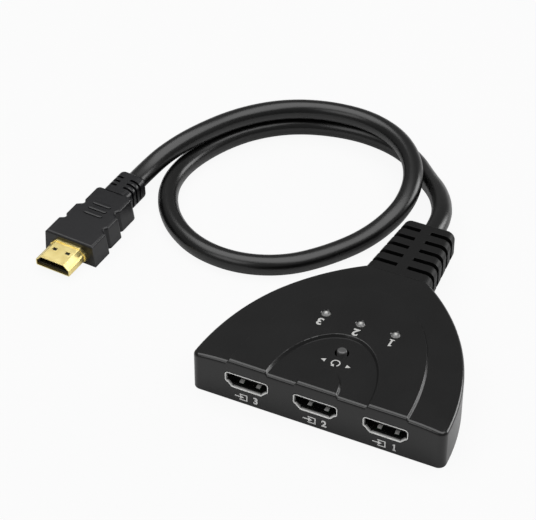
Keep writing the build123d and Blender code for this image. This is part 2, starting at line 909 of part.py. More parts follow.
def plug_insulator():
    """Insulator with the slot that takes the tongue."""
    block = along(plug_face(-shell_sheet - block_gap), plug_block_depth, plug_shell_length)
    slot = Rectangle(plug_slot_width, plug_slot_height)
    return block - along(slot, -overrun, plug_slot_depth)


def plug_contacts():
    """Contact strips on the floor and the roof of the slot."""
    strips = []
    for x, side in contact_rows():
        x_range = (x - plug_contact_width / 2, x + plug_contact_width / 2)
        root = -side * plug_slot_height / 2
        z_range = (root, root + side * plug_contact_sheet)
        strips.append(bar(x_range, (plug_contact_depth, plug_slot_depth), z_range))
    return strips


def grip_outline():
    """Half widths of the grip at its waist-like notches, front to back."""
    front_notch = (grip_front_length + grip_middle_start) / 2
    rear_notch = (grip_middle_end + grip_rear_start) / 2
    return [
        (grip_front_width / 2, -overrun),
        (grip_front_width / 2, grip_front_length),
        (grip_middle_width / 2 - grip_first_notch, front_notch),
        (grip_middle_width / 2, grip_middle_start),
        (grip_middle_width / 2, grip_middle_end),
        (grip_rear_width / 2 - grip_second_notch, rear_notch),
        (grip_rear_width / 2, grip_rear_start),
        (grip_rear_width / 2, grip_length),
    ]


def plug_grip():
    """Moulded grip with two notches in each side, wider below than above."""
    right = grip_outline()
    left = [(-x, y) for x, y in reversed(right)]
    face = make_face(Polyline(*right, *left, close=True))
    rear = face.vertices().group_by(Axis.Y)[-1]
    face = fillet(rear, grip_rear_round)
    sides = face.vertices().group_by(Axis.Y)[1:-2]
    face = fillet([vertex for group in sides for vertex in group], grip_corner_round)
    spread = grip_thickness * tan(radians(grip_lean)) / 2
    low = Pos(0, 0, -grip_thickness / 2) * offset(face, amount=spread)
    grip = extrude(low, amount=grip_thickness, taper=grip_lean)
    reach = (-grip_front_width, grip_front_width)
    grip -= bar(reach, (-2 * overrun, 0), reach)
    top_edges = grip.faces().sort_by(Axis.Z)[-1].edges()
    return Pos(0, plug_shell_bare, 0) * fillet(top_edges, grip_edge_round)


def relief_form(inset=0):
    """Outside of the strain relief behind the grip."""
    face = rounded(relief_width - 2 * inset, relief_height - 2 * inset, relief_corner_round - inset)
    return along(face, -overrun, relief_length)


def plug_overmould():
    """Grip and strain relief in one moulding, with the pocket for the shell."""
    relief = relief_form()
    relief = fillet(relief.faces().sort_by(Axis.Y)[-1].edges(), relief_end_round)
    row = (relief_slot_first, relief_slot_pitch, relief_slot_count, relief_slot_width)
    relief = slotted(relief, relief_form(relief_slot_depth), *row, relief_spine_half_width)
    mould = plug_grip() + Pos(0, plug_shell_bare + grip_length, 0) * relief
    return mould - along(plug_face(), plug_shell_bare - overrun, plug_shell_length)


def numbered(name, solid, places):
    """One node for each numbered place, holding a copy of the solid there."""
    return {f"{name}_{number}": place * solid for number, place in places.items()}


def all_nodes():
    """Every sub-part under its node's name."""
    nodes = {
        "upper_housing": upper_housing(),
        "bottom_cover": bottom_cover(),
        "case_screws": case_screws(),
        "circuit_board": circuit_board(),
        "board_screws": board_screws(),
        "switch_chip": switch_chip(),
        "control_chip": control_chip(),
        "board_passives": board_passives(),
        "tact_switch_base": tact_switch_base(),
        "tact_switch_cover": tact_switch_cover(),
        "tact_dome": tact_dome(),
        "tact_terminals": tact_terminals(),
        "select_button": select_button(),
        "led_leads": led_leads(),
        "cable_boot": cable_boot(),
        "cable_tail": cable_tail(),
        "cable_cores": cable_cores(),
        "output_cable": output_cable(),
    }
    sockets = {number: Pos(x, front_y, mouth_middle) for number, x in socket_places().items()}
    nodes |= numbered("input_socket_shell", input_socket_shell(), sockets)
    nodes |= numbered("input_socket_tongue", input_socket_tongue(), sockets)
    nodes |= numbered("input_socket_contacts", Compound(input_socket_contacts()), sockets)
    nodes |= {f"status_led_{number}": status_led(x) for number, x in lamp_places().items()}
    place = plug_place()
    nodes["plug_shell"] = place * plug_shell()
    nodes["plug_insulator"] = place * plug_insulator()
    nodes["plug_contacts"] = place * Compound(plug_contacts())
    nodes["plug_overmould"] = place * plug_overmould()
    return nodes


for name, solids in all_nodes().items():
    node = Compound(solids) if isinstance(solids, list) else solids
    export_step(node, f"parts/{name}.step")
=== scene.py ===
import bmesh
import bpy
import json
import math
import numpy as np
from mathutils import Matrix, Vector


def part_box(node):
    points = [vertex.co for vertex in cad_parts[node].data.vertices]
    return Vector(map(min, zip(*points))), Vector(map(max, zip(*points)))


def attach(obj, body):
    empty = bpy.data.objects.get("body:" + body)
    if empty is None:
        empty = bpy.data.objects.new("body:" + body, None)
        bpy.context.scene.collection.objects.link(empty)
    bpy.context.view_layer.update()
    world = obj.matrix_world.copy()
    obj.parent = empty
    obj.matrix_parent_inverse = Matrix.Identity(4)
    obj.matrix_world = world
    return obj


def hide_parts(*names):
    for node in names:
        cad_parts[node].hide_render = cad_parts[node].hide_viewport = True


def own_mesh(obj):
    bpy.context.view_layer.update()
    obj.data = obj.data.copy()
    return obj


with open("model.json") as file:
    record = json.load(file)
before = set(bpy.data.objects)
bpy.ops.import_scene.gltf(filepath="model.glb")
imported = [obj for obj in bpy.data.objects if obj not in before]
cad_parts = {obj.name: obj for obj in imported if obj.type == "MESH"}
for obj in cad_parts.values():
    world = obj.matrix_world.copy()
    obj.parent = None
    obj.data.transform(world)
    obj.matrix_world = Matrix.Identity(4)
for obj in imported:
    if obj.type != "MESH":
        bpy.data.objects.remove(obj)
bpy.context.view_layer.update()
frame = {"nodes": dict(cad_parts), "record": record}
nodes = frame["nodes"]
print("frame loaded,", len(nodes), "nodes")

mm = 0.001  # the scene is in metres


# camera

cameraSetup = {
    "azimuth": 25.98,  # degrees, 0 looks along +Y
    "elevation": 38.72,  # degrees above the floor
    "distance": 704.4,  # mm from the target
    "target": (-50.45, 22.65, 0.0),  # mm
    "lens": 135.5,  # mm
    "sensorWidth": 36.0,  # mm
    "clip": (0.01, 20.0),  # m, the nearest and farthest that it sees
}


def placeCamera(setup):
    turn, rise = math.radians(setup["azimuth"]), math.radians(setup["elevation"])
    level = math.cos(rise)
    back = Vector((math.sin(turn) * level, -math.cos(turn) * level, math.sin(rise)))
    data = bpy.data.cameras.new("photoCamera")
    data.lens = setup["lens"]
    data.sensor_width = setup["sensorWidth"]
    data.clip_start, data.clip_end = setup["clip"]
    camera = bpy.data.objects.new("photoCamera", data)
    bpy.context.scene.collection.objects.link(camera)
    camera.location = (Vector(setup["target"]) + back * setup["distance"]) * mm
    camera.rotation_mode = "QUATERNION"
    camera.rotation_quaternion = (-back).to_track_quat("-Z", "Y")
    bpy.context.scene.camera = camera


placeCamera(cameraSetup)


# small helpers for meshes

meshing = {
    "mergeDistance": 1e-7,  # m, for the shapes built here
    "nodeMergeDistance": 2e-6,  # m, for the CAD nodes' triangles
    "shortestEdge": 1e-6,  # m
    "sharpAngle": 28.0,  # degrees, steeper edges stay sharp
    "flatAngle": 0.5,  # degrees, flatter edges go before the others are rounded
    "roundedAngle": 35.0,  # degrees, steeper edges are rounded
    "roundingSegments": 2,
    "normalWeight": 80,
}


def newObject(name, data):
    piece = bpy.data.objects.new(name, data)
    bpy.context.scene.collection.objects.link(piece)
    return piece


def meshFromArrays(name, points, faces, smooth=True):
    mesh = bpy.data.meshes.new(name)
    points = np.asarray(points, float).reshape(-1, 3)
    mesh.from_pydata(points.tolist(), [], np.asarray(faces).tolist())
    mesh.polygons.foreach_set("use_smooth", np.full(len(mesh.polygons), smooth))
    mesh.update()
    return mesh


def gridFaces(rows, columns, closeColumns=False):
    # quads between neighbours of a rows x columns grid of points
    row = np.arange(rows - 1)[:, None] * columns
    column = np.arange(columns if closeColumns else columns - 1)[None, :]
    nextRow, nextColumn = row + columns, (column + 1) % columns
    corners = [row + column, row + nextColumn, nextRow + nextColumn, nextRow + column]
    return np.stack(corners, -1).reshape(-1, 4)


def pointsOf(mesh):
    # the mesh's own points in mm, one to a row
    points = np.empty(len(mesh.vertices) * 3)
    mesh.vertices.foreach_get("co", points)
    return points.reshape(-1, 3) / mm


def giveAttribute(mesh, name, values):
    mesh.attributes.new(name, "FLOAT", "POINT").data.foreach_set("value", values)


def boxOf(node):
    # low and high corner of a CAD node in mm
    return [np.array(corner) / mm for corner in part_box(node)]


def closedMesh(name, points):
    # a tube of rings in metres whose end rings shrink to a point, with its doubles merged
    mesh = meshFromArrays(name, points, gridFaces(*points.shape[:2], closeColumns=True))
    work = bmesh.new()
    work.from_mesh(mesh)
    bmesh.ops.remove_doubles(work, verts=work.verts, dist=meshing["mergeDistance"])
    bmesh.ops.recalc_face_normals(work, faces=work.faces)
    work.to_mesh(mesh)
    work.free()
    return mesh


def turnedMesh(name, profile, sides, centre):
    # profile (radius, height) turned about the upright axis through centre:
    # x = r cos a, y = r sin a, z = h, for a = 0 ... 2 pi
    profile = np.asarray(profile, float)
    angle = np.arange(sides) * 2 * np.pi / sides
    ring = np.stack([np.cos(angle), np.sin(angle)], -1)
    flat = profile[:, None, :1] * ring[None]
    height = np.broadcast_to(profile[:, None, 1:], (len(profile), sides, 1))
    points = np.concatenate([flat, height], -1) + np.asarray(centre, float)
    return closedMesh(name, points * mm)


def mergedCopy(node, name, rounding=0.0):
    # a CAD node's triangles merged and shaded smooth between its sharp edges; rounding in mm
    mesh = nodes[node].data.copy()
    mesh.name = name
    work = bmesh.new()
    work.from_mesh(mesh)
    bmesh.ops.remove_doubles(work, verts=work.verts, dist=meshing["nodeMergeDistance"])
    bmesh.ops.dissolve_degenerate(work, edges=work.edges, dist=meshing["shortestEdge"])
    if rounding:
        flat = math.radians(meshing["flatAngle"])
        bmesh.ops.dissolve_limit(work, angle_limit=flat, verts=work.verts, edges=work.edges)
    limit = math.radians(meshing["sharpAngle"])
    for edge in work.edges:
        edge.smooth = len(edge.link_faces) == 2 and edge.calc_face_angle(0.0) < limit
    for face in work.faces:
        face.smooth = True
    work.to_mesh(mesh)
    work.free()
    mesh.materials.clear()
    piece = newObject(name, mesh)
    if rounding:
        bevel = piece.modifiers.new("edgeRounding", "BEVEL")
        bevel.width = rounding * mm
        bevel.segments = meshing["roundingSegments"]
        bevel.limit_method = "ANGLE"
        bevel.angle_limit = math.radians(meshing["roundedAngle"])
    weighted = piece.modifiers.new("weightedNormals", "WEIGHTED_NORMAL")
    weighted.keep_sharp = not rounding
    weighted.weight = meshing["normalWeight"]
    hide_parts(node)
    return piece


# the free cable

cable = {
    "diameter": 7.3,  # mm
    "length": 450.9,  # mm
    "splineOrder": 3,
    "stepsPerPoint": 12,
    "roundSteps": 9,
    "route": [  # mm, from the end of the boot to the plug's strain relief
        (0, 47.25, 10.1), (0, 55.0, 10.1), (-2.2, 64.3, 9.5), (-8.2, 75.4, 7.5), (-16.9, 85.3, 4.9),
        (-25.9, 95.3, 4.0), (-38.2, 101.5, 3.65), (-54.9, 103.1, 3.65), (-73.7, 98.0, 3.65),
        (-87.1, 87.5, 3.65), (-96.0, 73.0, 3.65), (-100.9, 55.4, 3.65), (-99.3, 39.1, 3.65),
        (-89.8, 24.0, 3.65), (-75.1, 14.0, 3.65), (-57.9, 11.9, 3.65), (-41.9, 17.9, 3.65),
        (-30.3, 30.6, 3.65), (-21.2, 45.7, 4.3), (-15.7, 61.8, 8.1), (-18.5, 78.9, 10.9),
        (-29.4, 93.3, 11.6), (-45.1, 101.0, 11.6), (-63.3, 100.3, 11.6), (-79.1, 93.6, 11.6),
        (-91.7, 80.9, 11.6), (-100.5, 64.3, 11.4), (-106.5, 52.3, 9.1), (-109.1, 41.8, 7.05),
        (-109.7, 34.2, 6.65),
    ],
}


def makeCable(sizes):
    curve = bpy.data.curves.new("outputCable", "CURVE")
    curve.dimensions = "3D"
    spline = curve.splines.new("NURBS")
    route = np.array(sizes["route"], float) * mm
    spline.points.add(len(route) - 1)
    spline.points.foreach_set("co", np.hstack([route, np.ones((len(route), 1))]).ravel())
    spline.order_u = sizes["splineOrder"]
    spline.use_endpoint_u = True
    spline.resolution_u = sizes["stepsPerPoint"]
    curve.bevel_depth = sizes["diameter"] / 2 * mm
    curve.bevel_resolution = sizes["roundSteps"]
    curve.use_fill_caps = True
    curve.materials.append(bpy.data.materials.new("cableJacket"))  # gets its look further down
    piece = newObject("outputCable", curve)
    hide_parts("output_cable")
    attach(piece, "housing")
    return piece


outputCable = makeCable(cable)
print("cable laid")


# shared shader group and the two kinds of material

grainNoise = {
    "fineDetail": 2.0,  # octaves in the bump
    "slowDetail": 3.0,  # octaves in the mottle
    "mean": 0.5,
}
grainInputs = {  # input of the group: its entry in a look
    "Scale": "grainScale", "Mottle": "mottleScale",
    "Base": "roughness", "Spread": "roughnessSpread",
}


def newGroup(name, inputs, outputs):
    # a shader group whose sockets are all plain numbers
    group = bpy.data.node_groups.new(name, "ShaderNodeTree")
    for way, labels in (("INPUT", inputs), ("OUTPUT", outputs)):
        for label in labels:
            group.interface.new_socket(name=label, in_out=way, socket_type="NodeSocketFloat")
    return group, group.nodes.new("NodeGroupInput"), group.nodes.new("NodeGroupOutput")


def makeGrainGroup(setup):
    # fine noise for the bump, and slow noise for the shade and the roughness:
    # roughness = base + spread * (slow noise - its mean)
    group, given, out = newGroup("mouldingGrain", grainInputs, ("Height", "Roughness", "Shade"))
    where = group.nodes.new("ShaderNodeTexCoord")
    fine = group.nodes.new("ShaderNodeTexNoise")
    fine.inputs["Detail"].default_value = setup["fineDetail"]
    slow = group.nodes.new("ShaderNodeTexNoise")
    slow.inputs["Detail"].default_value = setup["slowDetail"]
    links = group.links
    links.new(where.outputs["Object"], fine.inputs["Vector"])
    links.new(where.outputs["Object"], slow.inputs["Vector"])
    links.new(given.outputs["Scale"], fine.inputs["Scale"])
    links.new(given.outputs["Mottle"], slow.inputs["Scale"])
    centred = group.nodes.new("ShaderNodeMath")
    centred.operation = "SUBTRACT"
    centred.inputs[1].default_value = setup["mean"]
    links.new(slow.outputs["Fac"], centred.inputs[0])
    scaled = group.nodes.new("ShaderNodeMath")
    scaled.operation = "MULTIPLY_ADD"
    links.new(centred.outputs[0], scaled.inputs[0])
    links.new(given.outputs["Spread"], scaled.inputs[1])
    links.new(given.outputs["Base"], scaled.inputs[2])
    links.new(fine.outputs["Fac"], out.inputs["Height"])
    links.new(scaled.outputs[0], out.inputs["Roughness"])
    links.new(slow.outputs["Fac"], out.inputs["Shade"])
    return group


grainGroup = makeGrainGroup(grainNoise)


def newMaterial(name):
    material = bpy.data.materials.get(name) or bpy.data.materials.new(name)
    material.use_nodes = True
    shader = material.node_tree.nodes["Principled BSDF"]
    return material, material.node_tree, shader


def mottledMaterial(name, look):
    # two colours mixed by the slow noise, with the grain's roughness; a look with a masked
    # colour shows it where the piece's own attribute of that name is 1
    material, tree, shader = newMaterial(name)
    grain = tree.nodes.new("ShaderNodeGroup")
    grain.node_tree = grainGroup
    for label, entry in grainInputs.items():
        grain.inputs[label].default_value = look[entry]
    mottle = tree.nodes.new("ShaderNodeMix")
    mottle.data_type = "RGBA"
    mottle.inputs["A"].default_value = (*look["darkColour"], 1.0)
    mottle.inputs["B"].default_value = (*look["lightColour"], 1.0)
    tree.links.new(grain.outputs["Shade"], mottle.inputs["Factor"])
    colour = mottle.outputs["Result"]
    if look["masked"]:
        attribute, maskedColour = look["masked"]
        mask = tree.nodes.new("ShaderNodeAttribute")
        mask.attribute_name = attribute
        masked = tree.nodes.new("ShaderNodeMix")
        masked.data_type = "RGBA"
        masked.inputs["B"].default_value = (*maskedColour, 1.0)
        tree.links.new(mask.outputs["Fac"], masked.inputs["Factor"])
        tree.links.new(colour, masked.inputs["A"])
        colour = masked.outputs["Result"]
    tree.links.new(colour, shader.inputs["Base Color"])
    tree.links.new(grain.outputs["Roughness"], shader.inputs["Roughness"])
    return material, tree, shader, grain


def mouldedMaterial(name, look):
    # moulded plastic or vinyl: the grain shows in the bump as well
    material, tree, shader, grain = mottledMaterial(name, look)
    bump = tree.nodes.new("ShaderNodeBump")
    bump.inputs["Strength"].default_value = look["bump"]
    bump.inputs["Distance"].default_value = look["bumpDistance"] * mm
    tree.links.new(grain.outputs["Height"], bump.inputs["Height"])
    tree.links.new(bump.outputs["Normal"], shader.inputs["Normal"])
    shader.inputs["Specular IOR Level"].default_value = look["specular"]
    return material


def metalMaterial(name, look):
    # plated sheet with a slightly uneven polish
    material, _, shader, _ = mottledMaterial(name, look)
    shader.inputs["Metallic"].default_value = look["metallic"]
    return material


def mouldedLook(dark, light, roughness, specular=0.5, bump=0.15, masked=None):
    return {
        "darkColour": dark, "lightColour": light, "masked": masked,
        "roughness": roughness, "roughnessSpread": 0.06, "specular": specular,
        "grainScale": 2600.0, "mottleScale": 70.0, "bump": bump, "bumpDistance": 0.05,
    }


def metalLook(dark, light, roughness, metallic=1.0, masked=None):
    return {
        "darkColour": dark, "lightColour": light, "masked": masked,
        "roughness": roughness, "roughnessSpread": 0.12, "metallic": metallic,
        "grainScale": 3000.0, "mottleScale": 300.0,
    }


def grey(level):
    return (level, level, level)


materials = {
    "housing_plastic": mouldedMaterial(
        "housingPlastic", mouldedLook(grey(0.002), grey(0.004), 0.2)),
    "boot_vinyl": mouldedMaterial(
        "bootVinyl", mouldedLook(grey(0.001), grey(0.002), 0.48, 0.2)),
    "plug_vinyl": mouldedMaterial(
        "plugVinyl", mouldedLook((0.003, 0.003, 0.004), (0.005, 0.005, 0.006), 0.32, 0.4)),
    "cable_jacket": mouldedMaterial(
        "cableJacket", mouldedLook(grey(0.001), grey(0.002), 0.28)),
    "core_jacket": mouldedMaterial(
        "coreJacket", mouldedLook((0.35, 0.35, 0.34), (0.45, 0.45, 0.44), 0.45)),
    "shell_metal": metalMaterial(
        "platedSheet", metalLook((0.60, 0.60, 0.59), (0.72, 0.72, 0.70), 0.28)),
    "plug_gold": metalMaterial(
        "goldPlate", metalLook((0.92, 0.72, 0.25), (0.99, 0.87, 0.42), 0.32)),
    "contact_gold": metalMaterial(
        "contactGold", metalLook((0.86, 0.70, 0.38), (0.95, 0.80, 0.48), 0.25)),
    "socket_insulator": mouldedMaterial(
        "insulatorBlack", mouldedLook(grey(0.004), grey(0.007), 0.5, 0.2)),
    "button_plastic": mouldedMaterial(
        "buttonPlastic", mouldedLook(grey(0.06), grey(0.075), 0.2)),
    # the light grey masked colour is a painted highlight and painted light ring on the lamp domes
    "lamp_resin": mouldedMaterial(
        "lampResin",
        mouldedLook(grey(0.07), grey(0.10), 0.12, masked=("paintedLight", (0.62, 0.62, 0.60)))),
    "board_laminate": mouldedMaterial(
        "boardLaminate", mouldedLook((0.01, 0.07, 0.03), (0.02, 0.10, 0.04), 0.4)),
    "chip_plastic": mouldedMaterial(
        "chipPlastic", mouldedLook(grey(0.015), grey(0.02), 0.5)),
    "screw_steel": metalMaterial(
        "screwSteel", metalLook(grey(0.45), (0.6, 0.6, 0.58), 0.35)),
}
# the dark grey masked colour is painted shade inside the sockets' mouths
socketSheet = metalMaterial("socketSheet", metalLook(
    (0.84, 0.84, 0.83), (0.94, 0.94, 0.92), 0.26, 0.1, masked=("shade", grey(0.012))))
topInk = mouldedMaterial(
    "topInk", mouldedLook((0.36, 0.36, 0.35), (0.46, 0.46, 0.45), 0.5, bump=0.05))
frontInk = mouldedMaterial(
    "frontInk", mouldedLook((0.78, 0.78, 0.77), (0.88, 0.88, 0.87), 0.5, bump=0.05))

slotOfNode = {row["node"]: row["material_slot"] for row in frame["record"]["subparts"]}


def dress(piece, slotName):
    piece.data.materials.clear()
    piece.data.materials.append(materials[slotName])


for nodeName, node in nodes.items():
    node.data.materials.clear()
    node.data.materials.append(materials[slotOfNode[nodeName]])

# the cable has its material already: a change of it would lose the curve's box
print("materials made")


# smooth copies of the mouldings and metal parts that show

shownNodes = {  # node: (name of the copy, rounding of its edges in mm)
    "upper_housing": ("upperHousing", 0.0),
    "bottom_cover": ("bottomCover", 0.0),
    "cable_boot": ("cableBoot", 0.28),
    "plug_overmould": ("plugOvermould", 0.22),
    "plug_shell": ("plugShell", 0.0),
    "plug_insulator": ("plugInsulator", 0.0),
}
smoothPieces = {}
for nodeName, (pieceName, rounding) in shownNodes.items():
    piece = mergedCopy(nodeName, pieceName, rounding)
    dress(piece, slotOfNode[nodeName])
    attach(piece, "housing")
    smoothPieces[nodeName] = piece
print("smooth pieces made")


# input sockets: the sheet's own light colour on the rim and finger tips, and painted shade
# darkening the mouth inside

socketLook = {
    "rimDepth": 0.8,  # mm over which the painted shade deepens from the rim inwards
    "fingerFront": 2.0,  # mm, where the spring fingers' tips start
    "fingerBack": 3.4,
    "fingerReach": 3.8,  # mm to each side of the socket's middle
    "wallHeight": 2.2,  # mm above and below the middle, where the walls lie
}


def shadeOf(points, middle, sizes):
    # painted shade in the mouth: 0 where the sheet keeps its own light colour, on the finger tips
    # and at the rim's front, from where it rises as 1 - (share of the rim's depth that is left)^3
    across, depth, height = (points - middle).T
    rim = np.clip(1 - depth / sizes["rimDepth"], 0, 1) ** 3
    onTip = (depth > sizes["fingerFront"]) & (depth < sizes["fingerBack"])
    onTip &= (np.abs(across) < sizes["fingerReach"]) & (np.abs(height) < sizes["wallHeight"])
    return 1 - np.maximum(rim, onTip)


def dressSocket(number):
    nodeName = f"input_socket_shell_{number}"
    piece = mergedCopy(nodeName, f"socketShell{number}")
    low, high = boxOf(nodeName)
    tongueLow, tongueHigh = boxOf(f"input_socket_tongue_{number}")
    middle = np.array([(low[0] + high[0]) / 2, low[1], (tongueLow[2] + tongueHigh[2]) / 2])
    giveAttribute(piece.data, "shade", shadeOf(pointsOf(piece.data), middle, socketLook))
    piece.data.materials.append(socketSheet)
    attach(piece, "housing")


for number in (1, 2, 3):
    dressSocket(number)
print("sockets dressed")


# indicator lamps and push button, turned about their upright axes

lampSizes = {
    "sides": 40,
    "domeSteps": 10,
    "diameter": 3.0,  # mm
    "domeHeight": 0.9,
    "flangeDiameter": 3.8,
    "flangeHeight": 1.0,
    "highlightRadius": 0.5,  # mm, painted highlight spot at the dome's middle
    "rimPaintedLight": 0.5,  # strength of the painted light ring at the dome's foot
    "rimWidth": 0.4,  # mm
    "rimDrop": 0.99,  # mm below the dome's top, where the painted light ring ends
}
buttonSizes = {
    "sides": 44,
    "roundSteps": 6,
    "shaftDiameter": 3.3,  # mm
    "edgeRound": 0.6,
    "flangeDiameter": 4.1,
    "flangeHeight": 0.4,
    "nubDiameter": 1.6,
    "nubHeight": 0.85,
    "travel": 0.3,  # mm, down
}


def makeLamp(number, sizes):
    # foot flange, upright side, and a dome that is a quarter ellipse: r = R cos t, z = h sin t
    low, high = boxOf(f"status_led_{number}")
    radius, flange = sizes["diameter"] / 2, sizes["flangeDiameter"] / 2
    flangeTop, shoulder = low[2] + sizes["flangeHeight"], high[2] - sizes["domeHeight"]
    turn = np.linspace(0, np.pi / 2, sizes["domeSteps"])
    dome = np.stack([radius * np.cos(turn), shoulder + sizes["domeHeight"] * np.sin(turn)], -1)
    foot = [(0, low[2]), (flange, low[2]), (flange, flangeTop), (radius, flangeTop)]
    centre = ((low[0] + high[0]) / 2, (low[1] + high[1]) / 2, 0)
    mesh = turnedMesh(f"statusLamp{number}", np.vstack([foot, dome]), sizes["sides"], centre)
    # painted highlight at the middle, as exp(-(r / spot)^2), and a painted light ring towards the
    # dome's foot, as a straight ramp
    points = pointsOf(mesh)
    reach = np.linalg.norm(points[:, :2] - centre[:2], axis=1)
    paintedSpot = np.exp(-(reach / sizes["highlightRadius"]) ** 2)
    rim = np.clip((reach - radius) / sizes["rimWidth"] + 1, 0, 1) * sizes["rimPaintedLight"]
    rim[points[:, 2] < points[:, 2].max() - sizes["rimDrop"]] = 0
    giveAttribute(mesh, "paintedLight", np.maximum(paintedSpot, rim))
    lamp = newObject(f"statusLamp{number}", mesh)
    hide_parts(f"status_led_{number}")
    dress(lamp, "lamp_resin")
    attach(lamp, "housing")


def makeButton(sizes):
    # nub, flange and shaft, with a quarter circle round the top edge
    low, high = boxOf("select_button")
    diameters = ("shaftDiameter", "flangeDiameter", "nubDiameter")
    shaft, flange, nub = (sizes[key] / 2 for key in diameters)
    flangeLow = low[2] + sizes["nubHeight"]
    flangeTop = flangeLow + sizes["flangeHeight"]
    turn = np.linspace(0, np.pi / 2, sizes["roundSteps"])
    corner = sizes["edgeRound"]
    edge = np.stack([np.cos(turn), np.sin(turn)], -1) * corner + (shaft - corner, high[2] - corner)
    foot = [
        (0, low[2]), (nub, low[2]), (nub, flangeLow), (flange, flangeLow), (flange, flangeTop),
        (shaft, flangeTop),
    ]
    centre = ((low[0] + high[0]) / 2, (low[1] + high[1]) / 2, 0)
    profile = np.vstack([foot, edge, [(0, high[2])]])
    button = newObject("selectButton", turnedMesh("selectButton", profile, sizes["sides"], centre))
    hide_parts("select_button")
    dress(button, "button_plastic")
    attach(button, "button")


def makeDome():
    # a smooth copy of the snap dome, with a mesh of its own
    dome = mergedCopy("tact_dome", "tactDome")
    dress(dome, "shell_metal")
    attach(dome, "housing")
    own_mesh(dome)


for number in (1, 2, 3):
    makeLamp(number, lampSizes)
makeButton(buttonSizes)
makeDome()
print("lamps and button turned")


# low ribs on the plug's upper face

plugRibs = {
    "places": (20.4, 23.2, 26.0),  # mm from the cable's end towards the plug's tip
    "length": 7.6,  # mm across the plug
    "width": 1.7,
    "height": 0.15,
    "lengthSteps": 25,
    "sides": 16,
    "endPower": 10,  # a higher power makes the ends blunter
}


def makeRibs(sizes):
    # each rib: across by l u, along by w t cos a, up by h t sin a, with t = sqrt(1 - |u|^power)
    end, before = np.array(cable["route"][-1]), np.array(cable["route"][-2])
    along = (end - before) / np.linalg.norm(end - before)
    across = np.cross(along, (0, 0, 1))
    across /= np.linalg.norm(across)
    up = np.cross(across, along)
    top = ((pointsOf(smoothPieces["plug_overmould"].data) - end) @ up).max()
    u = np.sin(np.linspace(-np.pi / 2, np.pi / 2, sizes["lengthSteps"]))[:, None, None]
    turn = (np.arange(sizes["sides"]) * 2 * np.pi / sizes["sides"])[None, :, None]
    swell = np.sqrt(np.clip(1 - np.abs(u) ** sizes["endPower"], 0, 1))
    form = across * u * sizes["length"] / 2 + along * swell * np.cos(turn) * sizes["width"] / 2
    form = form + up * swell * np.sin(turn) * sizes["height"]
    ribs = []
    for number, place in enumerate(sizes["places"], 1):
        name = f"plugRib{number}"
        rib = newObject(name, closedMesh(name, (form + end + along * place + up * top) * mm))
        dress(rib, "plug_vinyl")
        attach(rib, "housing")
        ribs.append(rib)
    return ribs


ribPieces = makeRibs(plugRibs)
print("plug ribbed")


# printing: plain numerals and generic signs, a hair above the surface

printing = {
    "lift": 0.02,  # mm above the surface
    "bandRise": 1.0,  # mm from the plain round the button to the raised band
    "lampNumeral": 4.6,  # mm, height of the type
    "lampNumeralPlaces": {1: (12.4, -16.9), 2: (0.2, -16.9), 3: (-12.4, -16.9)},  # mm
    "socketNumeral": 3.5,
    "socketNumeralShift": 3.2,  # mm to the right of the socket's middle
    "socketSignShift": -1.6,
    "legendHeight": 2.9,  # mm above the floor, middle of the legends on the front
    "weight": 0.14,  # mm that the type is thickened by
    "digitShare": 0.76,  # height of a digit as a share of the type's height
    "cyclePlace": (0.2, -32.4),
    "cycleRadius": 1.35,
    "cycleLine": 0.42,
    "cycleGap": 70.0,  # degrees left open at the arrow
    "cycleSteps": 40,
    "cycleHead": (1.6, 2.6),  # half width and length of the arrow's head, in widths of its line
    "cycleSide": ((3.6, 0.8), (5.2, 0.0), (3.6, -0.8)),  # mm, triangle to the right of the ring
    "one": (  # stem, flag and foot of the numeral one, as (across, up) shares of its height
        (-0.24, -0.5), (0.24, -0.5), (0.24, -0.4), (0.1, -0.37), (0.1, 0.5), (0.0, 0.5),
        (-0.22, 0.38), (-0.22, 0.29), (-0.08, 0.31), (-0.08, -0.37), (-0.24, -0.4),
    ),
    "inputArrow": (  # mm, an arrow that points into the open frame
        (-0.7, 0.22), (-0.7, 0.85), (0.7, 0.0), (-0.7, -0.85), (-0.7, -0.22), (-2.6, -0.22),
        (-2.6, 0.22),
    ),
    "inputFrame": (
        (-0.9, 0.92), (1.5, 0.92), (1.5, -0.92), (-0.9, -0.92), (-0.9, -1.3), (1.9, -1.3),
        (1.9, 1.3), (-0.9, 1.3),
    ),
}


def typeMesh(name, words, height):
    # set type turned into a flat mesh in metres, centred on its origin
    curve = bpy.data.curves.new(name, "FONT")
    curve.body = words
    curve.size = height * mm
    curve.offset = printing["weight"] * mm
    curve.align_x = "CENTER"
    curve.align_y = "CENTER"
    typed = newObject(name + "Type", curve)
    bpy.context.view_layer.update()
    depsgraph = bpy.context.evaluated_depsgraph_get()
    mesh = bpy.data.meshes.new_from_object(typed.evaluated_get(depsgraph))
    bpy.data.objects.remove(typed)
    bpy.data.curves.remove(curve)
    mesh.name = name
    return mesh


def flatMesh(name, outlines):
    # each outline is a closed row of (x, y) places in mm and becomes one face
    points = np.vstack([np.column_stack([line, np.zeros(len(line))]) for line in outlines])
    starts = np.cumsum([0] + [len(line) for line in outlines])
    faces = [list(range(first, last)) for first, last in zip(starts, starts[1:])]
    mesh = bpy.data.meshes.new(name)
    mesh.from_pydata((points * mm).tolist(), [], faces)
    return mesh


